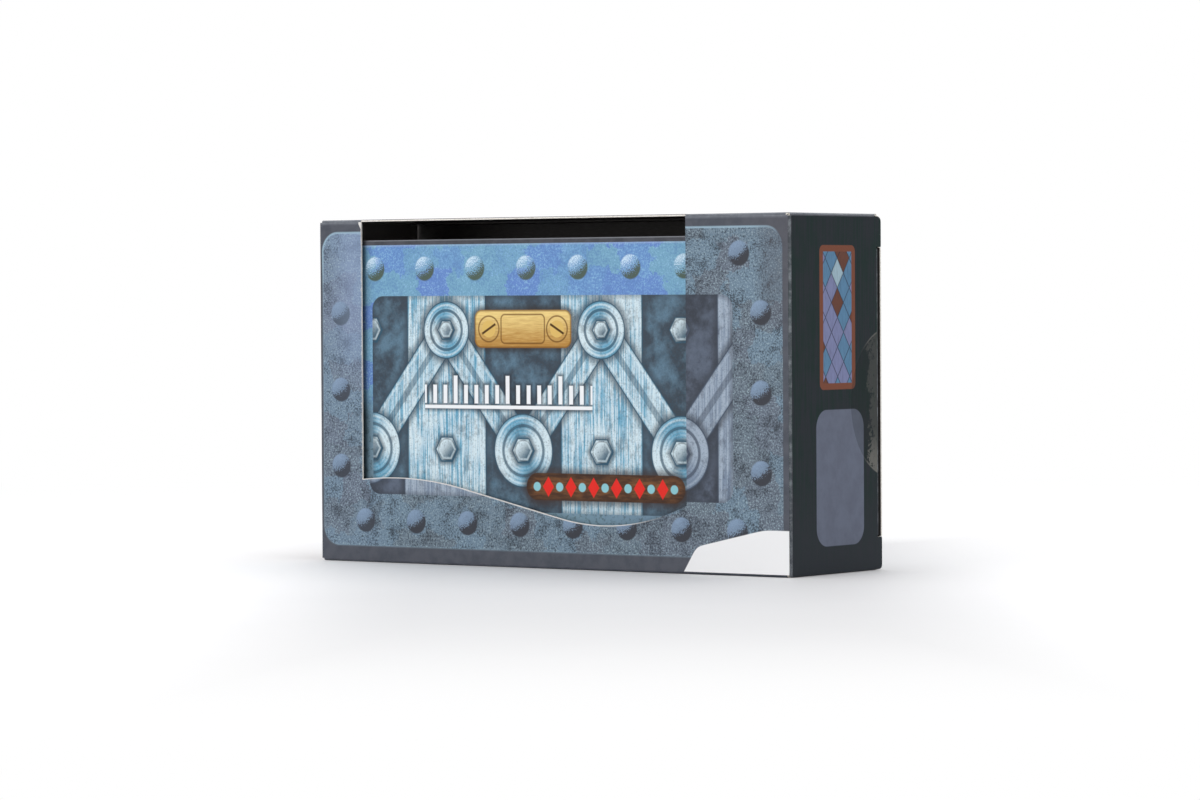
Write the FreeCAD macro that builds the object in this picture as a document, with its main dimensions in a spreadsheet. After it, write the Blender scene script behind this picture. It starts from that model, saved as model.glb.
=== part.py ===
"""A wooden trick box in its printed window carton, in millimetres.

The box is a sleeve of glued plates and rails with a sliding tray inside. Two loose steel pins in the
tray's upper wall drop clear of the upper rail while the box stands on its lower long edge, and fall into
keeper holes in that rail, locking the tray, when the box is turned over.
The carton is one folded blank: its panels are the nodes carton_*, its creased flaps turn on their beads.

Frame: +X to the right, +Y to the back, +Z up, origin under the middle of the carton.
"""

import FreeCAD, Part
import os
import re

import Sketcher

SIZES = {
    # Puzzle box, outside
    "box_length": 147.0,
    "box_height": 84.0,
    "corner_radius": 1.2,
    # Sleeve of the puzzle box
    "print_thickness": 0.2,
    "plate": 3.0,
    "rail_height": 6.0,
    "end_block_length": 8.0,
    # Tray, stacked from a base and three frames
    "tray_base": 4.0,
    "tray_layer": 8.9,
    "tray_clearance": 0.3,
    "tray_wall": 12.0,
    "tray_tail": 35.0,
    "cavity_corner": 2.0,
    "tray_travel": 95.0,
    # Hidden dowels
    "dowel_diameter": 4.0,
    "dowel_glue_gap": 0.05,
    "dowel_end_inset": 10.0,
    "dowel_skin": 1.5,
    # Stop dowel and the groove that it runs in
    "stop_diameter": 4.0,
    "stop_from_end": 14.0,
    "stop_seat": 2.0,
    "stop_engagement": 1.4,
    "groove_floor_gap": 0.6,
    "groove_side_gap": 0.2,
    # Gravity lock pins
    "pin_diameter": 5.0,
    "pin_length": 7.0,
    "pin_chamfer": 0.5,
    "pin_radial_gap": 0.1,
    "pin_end_gap": 0.05,
    "pin_bore_floor": 1.5,
    "keeper_depth": 4.0,
    "pin_from_end": 20.0,
    "pin_spacing": 50.0,
    # Carton board and the room it leaves around the box
    "board": 0.5,
    "face_gap": 1.1,
    "back_gap": 0.4,
    "rest_gap": 0.05,
    "headroom": 4.95,
    "end_gap_left": 0.9,
    "end_gap_right": 0.5,
    # Window in the front panel, open to the top fold
    "window_left_strip": 13.9,
    "window_right_strip": 31.5,
    "crest_from_left": 25.0,
    "crest_height": 22.4,
    "trough_from_left": 92.5,
    "trough_height": 11.5,
    "wave_steepness": 1.37,
    "crest_share": 0.62,
    # Creased flaps
    "crease_gap": 0.1,
    "flap_inset": 0.2,
    "shoulder_height": 8.2,
    "shoulder_radius": 2.0,
    "tuck_length": 11.0,
    "tuck_clearance": 0.5,
    "tuck_slot": 0.8,
    "tuck_side_gap": 0.4,
    "tuck_radius": 5.0,
    "dust_length": 30.0,
    "dust_taper": 8.5,
    "dust_front_gap": 0.5,
    "dust_tuck_gap": 0.3,
    "dust_radius": 3.0,
    "left_flap_gap": 0.15,
    "left_flap_side_inset": 0.4,
    "left_flap_end_gap": 0.5,
    "left_flap_radius": 4.0,
    "lip_gap": 0.4,
    "lip_side_gap": 0.2,
    "glue_flap_width": 12.0,
    "glue_flap_inset": 3.0,
}

# Places and lengths that follow from the sizes, as formulas
PLACES = {
    "tray_depth": "tray_base + 3 * tray_layer",
    "tray_room": "tray_depth + 2 * tray_clearance",
    "box_depth": "print_thickness + 2 * plate + tray_room",
    "carton_length": "box_length + end_gap_left + end_gap_right + 3 * board + crease_gap",
    "carton_depth": "box_depth + face_gap + back_gap + tuck_clearance + 3 * board",
    "carton_height": "box_height + headroom + rest_gap + 2 * board",
    # Carton, outside and inside faces
    "left": "-carton_length / 2",
    "right": "carton_length / 2",
    "front": "-carton_depth / 2",
    "back": "carton_depth / 2",
    "front_inner": "front + board",
    "back_inner": "back - board",
    "floor": "0",
    "ceiling": "carton_height - board",
    # Right end: closure over dust flaps, tuck inside the back panel
    "closure_plane": "right - board / 2",
    "closure_crease": "front + board / 2",
    "front_right": "closure_plane - board / 2 - crease_gap",
    "tuck_plane": "back_inner - tuck_clearance - board / 2",
    "tuck_low": "shoulder_height + flap_inset + tuck_side_gap",
    "tuck_high": "carton_height - tuck_low",
    "dust_plane": "closure_plane - board - crease_gap",
    "dust_front": "front_inner + dust_front_gap",
    "dust_back": "tuck_plane - board / 2 - dust_tuck_gap",
    "panel_right": "dust_plane - board / 2 - crease_gap",
    # Left end: open, with its flap folded flat behind the back panel
    "panel_left": "left + board + crease_gap",
    "left_crease_x": "left + board / 2",
    "left_crease_y": "back + left_flap_gap + board / 2",
    "left_flap_length": "left_crease_y - front_inner - left_flap_end_gap",
    # Window edge: crest arc, straight slope, trough arc
    "window_left": "left + window_left_strip",
    "window_right": "right - window_right_strip",
    "crest_x": "left + crest_from_left",
    "trough_x": "left + trough_from_left",
    "wave_run": "trough_x - crest_x",
    "wave_drop": "crest_height - trough_height",
    "wave_slope": "wave_steepness * wave_drop / wave_run",
    "wave_radii": "(wave_run * wave_slope - wave_drop) / (sqrt(1 + wave_slope ^ 2) - 1)",
    "crest_radius": "crest_share * wave_radii",
    "trough_radius": "(1 - crest_share) * wave_radii",
    "crest_centre": "crest_height - crest_radius",
    "trough_centre": "trough_height + trough_radius",
    "slope_sine": "wave_slope / sqrt(1 + wave_slope ^ 2)",
    "slope_cosine": "1 / sqrt(1 + wave_slope ^ 2)",
    # Puzzle box in the carton
    "box_left": "left + board + end_gap_left",
    "box_right": "box_left + box_length",
    "box_low": "board + rest_gap",
    "box_high": "box_low + box_height",
    "box_middle": "box_low + box_height / 2",
    "print_front": "front_inner + face_gap",
    "plate_front": "print_front + print_thickness",
    "room_front": "plate_front + plate",
    "room_back": "room_front + tray_room",
    "box_back": "room_back + plate",
    "rail_low_top": "box_low + rail_height",
    "rail_high_bottom": "box_high - rail_height",
    "block_left": "box_right - end_block_length",
    # Tray at rest, pushed home
    "tray_left": "box_left",
    "tray_right": "block_left - tray_clearance",
    "tray_low": "rail_low_top + tray_clearance",
    "tray_high": "rail_high_bottom - tray_clearance",
    "tray_front": "room_front + tray_clearance",
    "base_front": "tray_front + 3 * tray_layer",
    "tray_back": "base_front + tray_base",
    "cavity_left": "tray_left + tray_wall",
    "cavity_right": "tray_right - tray_tail",
    "cavity_low": "tray_low + tray_wall",
    "cavity_high": "tray_high - tray_wall",
    # Hidden dowels and their holes
    "dowel_radius": "dowel_diameter / 2",
    "dowel_hole_radius": "dowel_radius + dowel_glue_gap",
    # Lock pins, standing on the floor of their bores
    "pin_y": "tray_front + 1.5 * tray_layer",
    "pin_bore_low": "cavity_high + pin_bore_floor",
    "pin_bore_radius": "pin_diameter / 2 + pin_radial_gap",
    "pin_low": "pin_bore_low + pin_end_gap",
    # Stop dowel
    "stop_x": "box_left + stop_from_end",
    "stop_front": "tray_back - stop_engagement",
    "stop_radius": "stop_diameter / 2",
    "stop_hole_radius": "stop_radius + dowel_glue_gap",
    "groove_depth": "stop_engagement + groove_floor_gap",
    "groove_half": "stop_radius + groove_side_gap",
}

doc = FreeCAD.newDocument("PuzzleBox")
sheet = doc.addObject("Spreadsheet::Sheet", "Sizes")
for row, (alias, size) in enumerate(SIZES.items(), start=1):
    sheet.set(f"A{row}", alias)
    sheet.set(f"B{row}", str(size))
    sheet.setAlias(f"B{row}", alias)
doc.recompute()


def formula(text):
    """Writes a formula out until it names only cells of the sheet."""

    def cell(match):
        name = match.group(0)
        if name in PLACES:
            return "(" + formula(PLACES[name]) + ")"
        return "Sizes." + name if name in SIZES else name

    return re.sub(r"[a-z][a-z0-9_]*", cell, text)


def value(text):
    """A formula's number, for geometry that a sketch starts from."""
    return float(sheet.evalExpression(formula(text)))


def at(place, text):
    """True where a coordinate is the one that a formula gives."""
    return abs(place - value(text)) < 1e-6


def bind(thing, **formulas):
    """Ties properties to formulas; x, y and z stand for the placement."""
    for name, text in formulas.items():
        target = f"Placement.Base.{name}" if name in "xyz" else name
        thing.setExpression(target, formula(text))
    return thing


def block(label, x, y, z):
    """A plain box between pairs of places along each axis."""
    box = doc.addObject("Part::Box", label)
    bind(box, x=x[0], y=y[0], z=z[0])
    return bind(
        box,
        Length=f"{x[1]} - ({x[0]})",
        Width=f"{y[1]} - ({y[0]})",
        Height=f"{z[1]} - ({z[0]})",
    )


# Rotations that lay a cylinder's axis along the row axes
ALONG_Y = FreeCAD.Rotation(FreeCAD.Vector(1, 0, 0), -90)
ALONG_Z = FreeCAD.Rotation()


def rod(label, foot, radius, length, turn=ALONG_Z):
    """A round bar that stands on its foot and runs along the turned axis."""
    bar = doc.addObject("Part::Cylinder", label)
    bar.Placement.Rotation = turn
    bind(bar, x=foot[0], y=foot[1], z=foot[2])
    return bind(bar, Radius=radius, Height=length)


def together(label, pieces):
    """Several separate solids as one object."""
    group = doc.addObject("Part::Compound", label)
    group.Links = pieces
    return group


def cut(label, base, tools):
    """The base less all the tools."""
    piece = doc.addObject("Part::Cut", label)
    piece.Base = base
    piece.Tool = tools[0] if len(tools) == 1 else together(label + "_tools", tools)
    return piece


def fuse(label, base, tool):
    """Two overlapping forms as one solid."""
    piece = doc.addObject("Part::Fuse", label)
    piece.Base = base
    piece.Tool = tool
    return piece


# A sketch's own numbers: its origin, and the points of an edge
ORIGIN = -1
START, END, CENTRE = range(1, 4)


def new_sketch(body, plane):
    """An empty sketch on one of the body's own origin planes."""
    sketch = body.newObject("Sketcher::SketchObject", body.Name + "_outline")
    support = next(f for f in body.Origin.OriginFeatures if f.Role == plane)
    sketch.AttachmentSupport = [(support, "")]
    sketch.MapMode = "FlatFace"
    return sketch


def pin_point(sketch, edge, end, u, v):
    """Holds one end of an edge at two formulas, measured from the origin."""
    for kind, text in (("DistanceX", u), ("DistanceY", v)):
        if text is not None:
            index = sketch.addConstraint(Sketcher.Constraint(kind, ORIGIN, START, edge, end, value(text)))
            sketch.setExpression(f"Constraints[{index}]", formula(text))


def add_loop(sketch, corners):
    """A closed loop of straight edges, each corner held at its formulas."""
    first = sketch.GeometryCount
    points = [FreeCAD.Vector(value(u), value(v), 0) for u, v in corners]
    for start, end in zip(points, points[1:] + points[:1]):
        sketch.addGeometry(Part.LineSegment(start, end))
    for step, (u, v) in enumerate(corners):
        after = first + (step + 1) % len(corners)
        sketch.addConstraint(Sketcher.Constraint("Coincident", first + step, END, after, START))
        pin_point(sketch, first + step, START, u, v)


def rectangle(left, right, low, high):
    """The four corners of an upright rectangle."""
    return [(left, low), (right, low), (right, high), (left, high)]


def padded(body, sketch, thickness):
    """Thickens a sketch along its plane's normal."""
    pad = body.newObject("PartDesign::Pad", body.Name + "_pad")
    pad.Profile = sketch
    bind(pad, Length=thickness)
    doc.recompute()
    return pad


def rounded(body, pad, along, where, radius):
    """Rounds the pad's straight edges that run along an axis and pass the test on their middle."""
    names = []
    for number, edge in enumerate(pad.Shape.Edges, start=1):
        run = edge.Vertexes[-1].Point - edge.Vertexes[0].Point
        if abs(abs(run.normalize().dot(along)) - 1) < 1e-6 and where(edge.CenterOfMass):
            names.append(f"Edge{number}")
    fillet = body.newObject("PartDesign::Fillet", f"{body.Name}_round_{radius}")
    fillet.Base = (pad, names)
    bind(fillet, Radius=radius)
    doc.recompute()
    return fillet


X_AXIS = FreeCAD.Vector(1, 0, 0)
Y_AXIS = FreeCAD.Vector(0, 1, 0)


def plate(label, loops, thickness, back, corner, where):
    """A flat piece in the XZ plane, its back face at a place in Y, some of its corners rounded."""
    body = doc.addObject("PartDesign::Body", label)
    sketch = new_sketch(body, "XZ_Plane")
    for corners in loops:
        add_loop(sketch, corners)
    pad = padded(body, sketch, thickness)
    if corner:
        rounded(body, pad, Y_AXIS, where, corner)
    return bind(body, y=back)


def end_flap(label, corners, middle, corner, where):
    """A flat piece of board in the YZ plane, its middle at a place in X, some of its corners rounded."""
    body = doc.addObject("PartDesign::Body", label)
    sketch = new_sketch(body, "YZ_Plane")
    add_loop(sketch, corners)
    pad = padded(body, sketch, "board")
    rounded(body, pad, X_AXIS, where, corner)
    return bind(body, x=f"{middle} - board / 2")


def every(point):
    """Chooses all the edges."""
    return True


# Carton panels

def carton_front():
    """Front panel: a window open to the top fold, over a sill that dips from a crest to a trough."""
    body = doc.addObject("PartDesign::Body", "carton_front")
    sketch = new_sketch(body, "XZ_Plane")
    crest = FreeCAD.Vector(value("crest_x"), value("crest_centre"), 0)
    trough = FreeCAD.Vector(value("trough_x"), value("trough_centre"), 0)
    crest_radius, trough_radius = value("crest_radius"), value("trough_radius")
    slope = FreeCAD.Vector(value("slope_sine"), value("slope_cosine"), 0)
    slope_top = crest + slope * crest_radius
    slope_foot = trough - slope * trough_radius
    sill_left = value("window_left")
    sill_right = value("window_right")
    sill_left_height = crest.y + (crest_radius**2 - (sill_left - crest.x) ** 2) ** 0.5
    sill_right_height = trough.y - (trough_radius**2 - (sill_right - trough.x) ** 2) ** 0.5
    left_end = FreeCAD.Vector(sill_left, sill_left_height, 0)
    right_end = FreeCAD.Vector(sill_right, sill_right_height, 0)

    def corner(u, v):
        return FreeCAD.Vector(value(u), value(v), 0)

    outside = [
        ("window_right", "carton_height"),
        ("front_right", "carton_height"),
        ("front_right", "floor"),
        ("left", "floor"),
        ("left", "carton_height"),
        ("window_left", "carton_height"),
    ]
    points = [right_end] + [corner(u, v) for u, v in outside] + [left_end]
    for start, end in zip(points, points[1:]):
        sketch.addGeometry(Part.LineSegment(start, end))
    last = sketch.GeometryCount - 1
    up = FreeCAD.Vector(0, 0, 1)

    def arc(centre, radius, start, end):
        circle = Part.Circle(centre, up, radius)
        return sketch.addGeometry(Part.ArcOfCircle(circle, circle.parameter(start), circle.parameter(end)))

    crest_arc = arc(crest, crest_radius, slope_top, left_end)
    sill = sketch.addGeometry(Part.LineSegment(slope_top, slope_foot))
    trough_arc = arc(trough, trough_radius, slope_foot, right_end)
    for edge, after in zip(range(last), range(1, last + 1)):
        sketch.addConstraint(Sketcher.Constraint("Coincident", edge, END, after, START))
    for edge, (u, v) in enumerate(outside):
        pin_point(sketch, edge, END, u, v)
    first = 0
    pin_point(sketch, last, END, "window_left", None)
    pin_point(sketch, first, START, "window_right", None)
    sketch.addConstraint(Sketcher.Constraint("Coincident", last, END, crest_arc, END))
    sketch.addConstraint(Sketcher.Constraint("Coincident", first, START, trough_arc, END))
    pin_point(sketch, crest_arc, CENTRE, "crest_x", "crest_centre")
    pin_point(sketch, trough_arc, CENTRE, "trough_x", "trough_centre")
    for edge, radius in ((crest_arc, "crest_radius"), (trough_arc, "trough_radius")):
        index = sketch.addConstraint(Sketcher.Constraint("Radius", edge, value(radius)))
        sketch.setExpression(f"Constraints[{index}]", formula(radius))
    sketch.addConstraint(Sketcher.Constraint("Tangent", crest_arc, START, sill, START))
    sketch.addConstraint(Sketcher.Constraint("Tangent", sill, END, trough_arc, START))
    padded(body, sketch, "board")
    return bind(body, y="front_inner")


def carton_back():
    """Back panel, cut short at the right corners where the closure's shoulders lie."""
    panel = block("back_sheet", ("panel_left", "right"), ("back_inner", "back"), ("floor", "carton_height"))
    across = ("front_right", "right + board")
    through = ("back_inner - board", "back + board")
    notch = "shoulder_height + flap_inset + crease_gap"
    low = block("back_notch_low", across, through, ("-board", notch))
    high = block("back_notch_high", across, through, (f"carton_height - ({notch})", "carton_height + board"))
    return cut("carton_back", panel, [low, high])


def carton_walls():
    """The rest of the folded tube: top, bottom, glue flap under the top, and the lip at the left end."""
    inside = ("front_inner", "back_inner")
    panel = ("panel_left", "panel_right")
    top = block("carton_top", panel, inside, ("ceiling", "carton_height"))
    bottom = block("carton_bottom", panel, inside, ("floor", "board"))
    glue_flap = block(
        "carton_glue_flap",
        ("panel_left + glue_flap_inset", "panel_right - glue_flap_inset"),
        ("back_inner - glue_flap_width", "back_inner"),
        ("ceiling - board", "ceiling"),
    )
    lip = block(
        "carton_left_lip",
        ("panel_left", "panel_left + board"),
        ("front_inner + lip_side_gap", "back_inner - lip_side_gap"),
        ("box_high + lip_gap", "ceiling"),
    )
    return [top, bottom, glue_flap, lip]


# Carton flaps, each with a round bead on its crease

def right_closure():
    """End panel that covers the right end, with shoulders above and below the tuck's slot."""
    low, high = "flap_inset", "carton_height - flap_inset"
    shoulder_low = "flap_inset + shoulder_height"
    shoulder_high = f"carton_height - ({shoulder_low})"
    slot = "tuck_plane - tuck_slot"
    outline = [
        ("closure_crease", low),
        ("back", low),
        ("back", shoulder_low),
        (slot, shoulder_low),
        (slot, shoulder_high),
        ("back", shoulder_high),
        ("back", high),
        ("closure_crease", high),
    ]
    sheet_part = end_flap(
        "closure_sheet",
        outline,
        "closure_plane",
        "shoulder_radius",
        lambda p: at(p.y, "back") and (at(p.z, low) or at(p.z, high)),
    )
    bead = rod("closure_bead", ("closure_plane", "closure_crease", low), "board / 2", f"{high} - {low}")
    return fuse("right_closure", sheet_part, bead)


def right_tuck():
    """Tongue that slides in behind the back panel, with its leading corners rounded."""
    tip = "closure_plane - tuck_length"
    sheet_part = plate(
        "tuck_sheet",
        [rectangle(tip, "closure_plane", "tuck_low", "tuck_high")],
        "board",
        "tuck_plane + board / 2",
        "tuck_radius",
        lambda p: at(p.x, tip),
    )
    bead = rod("tuck_bead", ("closure_plane", "tuck_plane", "tuck_low"), "board / 2", "tuck_high - tuck_low")
    return fuse("right_tuck", sheet_part, bead)


def right_dust_flap(label, crease, tip):
    """Tapered flap under the closure, from its crease on the top or bottom panel to its tip."""
    outline = [
        ("dust_front", crease),
        ("dust_back", crease),
        ("dust_back - dust_taper", tip),
        ("dust_front + dust_taper", tip),
    ]
    sheet_part = end_flap(label + "_sheet", outline, "dust_plane", "dust_radius", lambda p: at(p.z, tip))
    bead = rod(
        label + "_bead", ("dust_plane", "dust_front", crease), "board / 2", "dust_back - dust_front", ALONG_Y
    )
    return fuse(label, sheet_part, bead)


def left_flap():
    """Plain flap of the left end, folded flat behind the back panel."""
    tip = "left_crease_x + left_flap_length"
    low, high = "left_flap_side_inset", "carton_height - left_flap_side_inset"
    sheet_part = plate(
        "left_flap_sheet",
        [rectangle("left_crease_x", tip, low, high)],
        "board",
        "left_crease_y + board / 2",
        "left_flap_radius",
        lambda p: at(p.x, tip),
    )
    bead = rod("left_flap_bead", ("left_crease_x", "left_crease_y", low), "board / 2", f"{high} - {low}")
    return fuse("left_flap", sheet_part, bead)


# Sleeve of the puzzle box

def shell_dowel_rods(label, radius):
    """Four rods through the rails' ends, into both plates."""
    rods = []
    for x in ("box_left + dowel_end_inset", "box_right - dowel_end_inset"):
        for z in ("box_low + rail_height / 2", "box_high - rail_height / 2"):
            foot = (x, "plate_front + dowel_skin", z)
            length = "box_back - plate_front - 2 * dowel_skin"
            rods.append(rod(label, foot, radius, length, ALONG_Y))
    return rods


def stop_rod(label, radius):
    """The stop dowel's round form, from the groove into the back plate."""
    length = "room_back + stop_seat - stop_front"
    foot = ("stop_x", "stop_front", "box_middle")
    return rod(label, foot, radius, length, ALONG_Y)


def pin_places():
    """The X of each lock pin, from the tray's outer end inwards."""
    first = "tray_left + pin_from_end"
    return {"outer": first, "inner": f"{first} + pin_spacing"}


def sleeve():
    """Printed face, front and back plates, rails with the keeper holes, and the end block."""
    face = [rectangle("box_left", "box_right", "box_low", "box_high")]
    printed = plate("face_print", face, "print_thickness", "plate_front", "corner_radius", every)
    front = plate("front_plate_blank", face, "plate", "room_front", "corner_radius", every)
    rear = plate("back_plate_blank", face, "plate", "box_back", "corner_radius", every)
    upper = plate(
        "upper_rail_blank",
        [rectangle("box_left", "box_right", "rail_high_bottom", "box_high")],
        "tray_room",
        "room_back",
        "corner_radius",
        lambda p: at(p.z, "box_high"),
    )
    lower = plate(
        "lower_rail_blank",
        [rectangle("box_left", "box_right", "box_low", "rail_low_top")],
        "tray_room",
        "room_back",
        "corner_radius",
        lambda p: at(p.z, "box_low"),
    )
    holes = "dowel_hole_radius"
    keepers = [
        rod("keeper", (x, "pin_y", "rail_high_bottom"), "pin_bore_radius", "keeper_depth")
        for x in pin_places().values()
    ]
    stop_hole = stop_rod("stop_hole", "stop_hole_radius")
    block_z = ("rail_low_top", "rail_high_bottom")
    return [
        printed,
        cut("front_plate", front, shell_dowel_rods("front_hole", holes)),
        cut("back_plate", rear, shell_dowel_rods("back_hole", holes) + [stop_hole]),
        cut("upper_rail", upper, shell_dowel_rods("upper_hole", holes) + keepers),
        cut("lower_rail", lower, shell_dowel_rods("lower_hole", holes)),
        block("end_block", ("block_left", "box_right"), ("room_front", "room_back"), block_z),
        together("shell_dowels", shell_dowel_rods("shell_dowel", "dowel_radius")),
        stop_rod("stop_dowel", "stop_radius"),
    ]


# Tray and its lock pins

def tray_dowel_rods(label, radius):
    """Four rods that line up the tray's layers, blind at both ends."""
    rods = []
    for x in ("tray_left + tray_wall / 2", "tray_right - tray_wall / 2"):
        for z in ("tray_low + tray_wall / 2", "tray_high - tray_wall / 2"):
            foot = (x, "tray_front + dowel_skin", z)
            length = "tray_depth - 2 * dowel_skin"
            rods.append(rod(label, foot, radius, length, ALONG_Y))
    return rods


def tray_layers():
    """Base with the stop's groove behind it, and three frames around the cavity, the middle one bored."""
    holes = "dowel_hole_radius"
    outside = rectangle("tray_left", "tray_right", "tray_low", "tray_high")
    cavity = rectangle("cavity_left", "cavity_right", "cavity_low", "cavity_high")
    base = plate("tray_base_blank", [outside], "tray_base", "tray_back", None, None)
    groove = block(
        "stop_groove",
        ("stop_x - groove_half", "stop_x + tray_travel + groove_half"),
        ("tray_back - groove_depth", "tray_back + board"),
        ("box_middle - groove_half", "box_middle + groove_half"),
    )
    layers = [cut("tray_base", base, tray_dowel_rods("base_hole", holes) + [groove])]
    bores = [
        rod("pin_bore", (x, "pin_y", "pin_bore_low"), "pin_bore_radius", "tray_high - pin_bore_low + board")
        for x in pin_places().values()
    ]
    for number, name in enumerate(("front", "middle", "back"), start=1):
        blank = plate(
            f"tray_frame_{name}_blank",
            [outside, cavity],
            "tray_layer",
            f"tray_front + {number} * tray_layer",
            "cavity_corner",
            lambda p: at(p.x, "cavity_left") or at(p.x, "cavity_right"),
        )
        tools = tray_dowel_rods(f"{name}_hole", holes) + (bores if name == "middle" else [])
        layers.append(cut(f"tray_frame_{name}", blank, tools))
    return layers + [together("tray_dowels", tray_dowel_rods("tray_dowel", "dowel_radius"))]


def lock_pins():
    """Loose steel pins with eased ends, one for each bore."""
    pins = []
    for name, x in pin_places().items():
        body = doc.addObject("PartDesign::Body", f"lock_pin_{name}")
        bar = body.newObject("PartDesign::AdditiveCylinder", f"pin_bar_{name}")
        bind(bar, Radius="pin_diameter / 2", Height="pin_length")
        doc.recompute()
        rims = [n for n, e in enumerate(bar.Shape.Edges, start=1) if isinstance(e.Curve, Part.Circle)]
        ease = body.newObject("PartDesign::Chamfer", f"pin_ease_{name}")
        ease.Base = (bar, [f"Edge{n}" for n in rims])
        bind(ease, Size="pin_chamfer")
        pins.append(bind(body, x=x, y="pin_y", z="pin_low"))
    return pins


pieces = [carton_front(), carton_back(), *carton_walls()]
pieces += [right_closure(), right_tuck()]
pieces += [
    right_dust_flap("right_dust_top", "carton_height - board / 2", "carton_height - board / 2 - dust_length"),
    right_dust_flap("right_dust_bottom", "board / 2", "board / 2 + dust_length"),
    left_flap(),
]
pieces += sleeve() + tray_layers() + lock_pins()
doc.recompute()

for thing in doc.Objects:
    if {"Invalid", "Error"} & set(thing.State):
        raise RuntimeError(f"{thing.Label} failed to recompute: {thing.State}")
for piece in pieces:
    if piece.Shape.isNull() or not piece.Shape.isValid():
        raise RuntimeError(f"{piece.Label} has no valid shape")

os.makedirs("parts", exist_ok=True)
for piece in pieces:
    piece.Shape.exportStep(f"parts/{piece.Label}.step")
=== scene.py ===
"""Looks of the wooden trick box in its printed window carton.

Lengths are in millimetres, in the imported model's own frame, and are turned into metres
where a mesh, lamp or camera is made. Colours are written as they show on a screen.
"""
import math
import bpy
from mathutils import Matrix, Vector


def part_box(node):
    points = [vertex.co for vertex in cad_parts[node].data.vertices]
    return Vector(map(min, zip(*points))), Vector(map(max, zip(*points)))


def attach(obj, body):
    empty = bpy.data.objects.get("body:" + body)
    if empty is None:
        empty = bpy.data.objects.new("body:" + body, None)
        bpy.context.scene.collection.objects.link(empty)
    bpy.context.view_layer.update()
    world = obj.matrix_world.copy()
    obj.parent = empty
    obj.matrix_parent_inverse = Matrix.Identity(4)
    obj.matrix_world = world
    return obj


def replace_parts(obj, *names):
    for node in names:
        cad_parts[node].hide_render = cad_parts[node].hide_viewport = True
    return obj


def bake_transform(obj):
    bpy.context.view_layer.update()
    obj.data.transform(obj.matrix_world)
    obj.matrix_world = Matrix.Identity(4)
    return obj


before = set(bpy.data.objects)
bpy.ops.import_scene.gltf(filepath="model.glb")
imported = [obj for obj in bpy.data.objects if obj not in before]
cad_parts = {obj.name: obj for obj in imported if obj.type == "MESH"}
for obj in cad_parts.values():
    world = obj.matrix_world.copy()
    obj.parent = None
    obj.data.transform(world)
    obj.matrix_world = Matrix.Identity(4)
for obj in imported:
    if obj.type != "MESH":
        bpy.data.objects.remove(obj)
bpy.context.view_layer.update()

from types import SimpleNamespace

import bmesh
import bpy
from mathutils import Color, Matrix, Vector

MM = 0.001
X, Y, Z = range(3)


def sides(node):
    """Lowest and highest corner of a node."""
    low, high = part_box(node)
    return Vector(low) / MM, Vector(high) / MM


# Places read from the frame
FRONT_LOW, FRONT_HIGH = sides("carton_front")
BACK_HIGH = sides("carton_back")[1]
TOP_LOW, TOP_HIGH = sides("carton_top")
GLUE_LOW, GLUE_HIGH = sides("carton_glue_flap")
LIP_LOW, LIP_HIGH = sides("carton_left_lip")
CLOSURE_LOW, CLOSURE_HIGH = sides("right_closure")
TUCK_LOW, TUCK_HIGH = sides("right_tuck")
DUST_LOW, DUST_HIGH = sides("right_dust_top")
FLAP_LOW, FLAP_HIGH = sides("left_flap")
FACE_LOW, FACE_HIGH = sides("face_print")
LEFT, RIGHT = FRONT_LOW.x, CLOSURE_HIGH.x
HEIGHT = FRONT_HIGH.z
FRONT, BACK = FRONT_LOW.y, BACK_HIGH.y
BOARD = FRONT_HIGH.y - FRONT_LOW.y
MIDDLE = Vector((0, 0, HEIGHT / 2))

# Folds of the board, and the flat parts of the sleeve's panels between them
FOLD_RADIUS = 0.6
ARC_STEPS = 6
FLAT_LEFT, FLAT_RIGHT = TOP_LOW.x, TOP_HIGH.x
NEAR, FAR = FRONT + FOLD_RADIUS, BACK - FOLD_RADIUS
LOW, HIGH = FOLD_RADIUS, HEIGHT - FOLD_RADIUS

# Window in the front panel: a crest arc, a straight slope and a trough arc
WINDOW_LEFT = LEFT + 13.9
WINDOW_RIGHT = RIGHT - 31.5
CREST = Vector((LEFT + 25.0, 22.4))
TROUGH = Vector((LEFT + 92.5, 11.5))
WAVE_STEEPNESS = 1.37
CREST_SHARE = 0.62
SILL_STEPS = 72

# Flaps
SHOULDER = 8.2
SHOULDER_RADIUS = 1.2
NOTCH_RADIUS = 0.4
NOTCH_PLAY = 0.3
CLOSURE_DROP = 0.6
TUCK_FOLD = 1.0
TUCK_CREASE = TUCK_HIGH.y - TUCK_FOLD
TUCK_RADIUS = 5.0
DUST_TAPER = 8.5
DUST_RADIUS = 3.0
FLAP_RADIUS = 4.0
LIP_NEAR, LIP_FAR = LIP_LOW.y + 0.4, LIP_HIGH.y - 0.4
LIP_TIP = LIP_LOW.z - 0.3
LIP_BEND = FLAT_LEFT + FOLD_RADIUS
GLUE_TAPER = 4.0

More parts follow.
